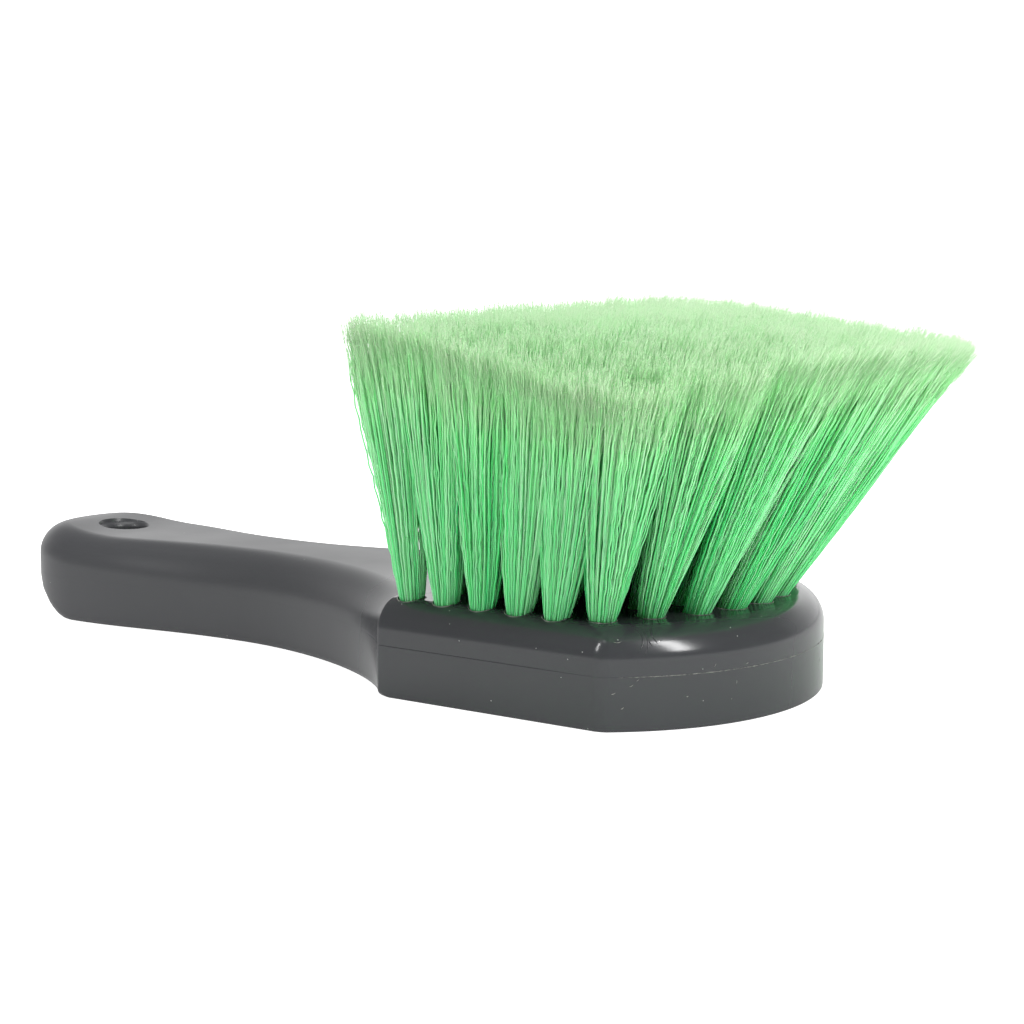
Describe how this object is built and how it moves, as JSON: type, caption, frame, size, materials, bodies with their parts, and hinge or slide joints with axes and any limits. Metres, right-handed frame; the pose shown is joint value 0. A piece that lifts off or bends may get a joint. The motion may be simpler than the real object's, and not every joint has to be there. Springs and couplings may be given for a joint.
{
  "type": "wheel brush",
  "caption": "Short-handled wheel brush: a grey moulded block and handle with a hanging hole, and a fanned field of green flagged bristle tufts.",
  "frame": {"origin": "on the flat back of the block, in the middle of its width, at the shoulder line where the handle meets the block", "axes": "+X along the brush from the handle towards the nose, +Z out of the back towards the bristles, Y across the width"},
  "size_m": [0.2485, 0.15, 0.0859],
  "materials": {
    "grey_moulded_plastic": "satin moulded polypropylene, darker sheen on the rounded edges, fine parting line and specks",
    "green_filament": "crimped translucent green filament with paler split tips",
    "staple_wire": "bright flat staple wire, hidden in the tuft holes"
  },
  "bodies": {
    "root": {"block_handle": "grey_moulded_plastic", "tuft_nose_1": "green_filament", "tuft_nose_2": "green_filament", "tuft_nose_3": "green_filament", "tuft_nose_4": "green_filament", "tuft_nose_5": "green_filament", "tuft_nose_6": "green_filament", "tuft_nose_7": "green_filament", "tuft_nose_8": "green_filament", "tuft_row1_1": "green_filament", "tuft_row1_2": "green_filament", "tuft_row1_3": "green_filament", "tuft_row1_4": "green_filament", "tuft_row1_5": "green_filament", "tuft_row2_1": "green_filament", "tuft_row2_2": "green_filament", "tuft_row2_3": "green_filament", "tuft_row2_4": "green_filament", "tuft_row2_5": "green_filament", "tuft_row3_1": "green_filament", "tuft_row3_2": "green_filament", "tuft_row3_3": "green_filament", "tuft_row3_4": "green_filament", "tuft_row3_5": "green_filament", "tuft_row3_6": "green_filament", "tuft_row4_1": "green_filament", "tuft_row4_2": "green_filament", "tuft_row4_3": "green_filament", "tuft_row4_4": "green_filament", "tuft_row4_5": "green_filament", "tuft_row4_6": "green_filament", "tuft_row5_1": "green_filament", "tuft_row5_2": "green_filament", "tuft_row5_3": "green_filament", "tuft_row5_4": "green_filament", "tuft_row5_5": "green_filament", "tuft_row5_6": "green_filament", "tuft_row5_7": "green_filament", "tuft_row6_1": "green_filament", "tuft_row6_2": "green_filament", "tuft_row6_3": "green_filament", "tuft_row6_4": "green_filament", "tuft_row6_5": "green_filament", "tuft_row6_6": "green_filament", "tuft_row7_1": "green_filament", "tuft_row7_2": "green_filament", "tuft_row7_3": "green_filament", "tuft_row7_4": "green_filament", "tuft_row7_5": "green_filament", "tuft_row7_6": "green_filament", "tuft_row8_1": "green_filament", "tuft_row8_2": "green_filament", "tuft_row8_3": "green_filament", "tuft_row8_4": "green_filament", "tuft_row8_5": "green_filament", "tuft_row9_1": "green_filament", "tuft_row9_2": "green_filament", "tuft_row9_3": "green_filament", "tuft_row9_4": "green_filament", "tuft_row9_5": "green_filament"}
  },
  "joints": []
}
